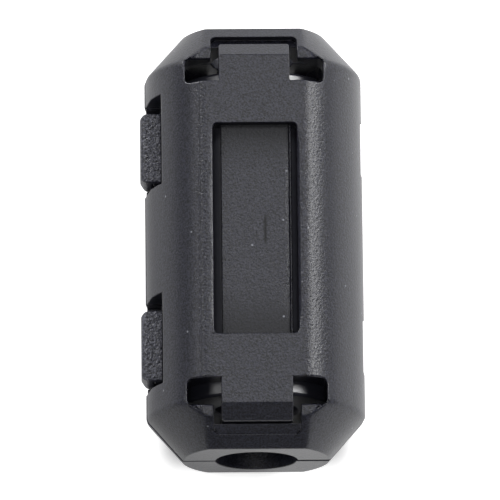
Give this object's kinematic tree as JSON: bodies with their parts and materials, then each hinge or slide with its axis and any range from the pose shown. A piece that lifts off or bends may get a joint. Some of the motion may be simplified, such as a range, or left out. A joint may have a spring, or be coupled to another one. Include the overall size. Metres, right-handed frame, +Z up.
{
  "type": "clip-on ferrite bead",
  "caption": "Hinged black nylon clip that snaps round a cable and closes two halves of a ferrite tube over it to damp radio-frequency noise.",
  "frame": {"origin": "middle of the cable hole's axis, on the plane where the two case halves meet", "axes": "+Y along the cable hole, +X towards the hinge (the latches are at -X), +Z up through the upper half's flat"},
  "size_m": [0.0129, 0.025, 0.011],
  "materials": {
    "nylon": "satin",
    "ferrite": "satin"
  },
  "bodies": {
    "lower": {"lower_shell": "nylon", "lower_ferrite": "ferrite"},
    "straps": {"front_hinge_strap": "nylon", "rear_hinge_strap": "nylon"},
    "upper": {"upper_shell": "nylon", "upper_ferrite": "ferrite"},
    "front_latch": {"front_latch": "nylon"},
    "rear_latch": {"rear_latch": "nylon"}
  },
  "joints": [
    {"name": "strap_fold", "type": "hinge", "parent": "lower", "child": "straps", "pos_m": [0.00617, 0, -0.0008], "axis": [0, 1, 0], "range_deg": [0, 90]},
    {"name": "lid_fold", "type": "hinge", "parent": "straps", "child": "upper", "pos_m": [0.00617, 0, 0.0008], "axis": [0, 1, 0], "range_deg": [0, 90]},
    {"name": "front_latch_flex", "type": "hinge", "parent": "lower", "child": "front_latch", "pos_m": [-0.00544, -0.0059, -0.0024], "axis": [0, -1, 0], "range_deg": [0, 10], "stiffness_Nm_per_rad": 0.02},
    {"name": "rear_latch_flex", "type": "hinge", "parent": "lower", "child": "rear_latch", "pos_m": [-0.00544, 0.0059, -0.0024], "axis": [0, -1, 0], "range_deg": [0, 10], "stiffness_Nm_per_rad": 0.02}
  ],
  "couplings": [
    {"joint": "strap_fold", "follows": "lid_fold", "ratio": 1}
  ]
}
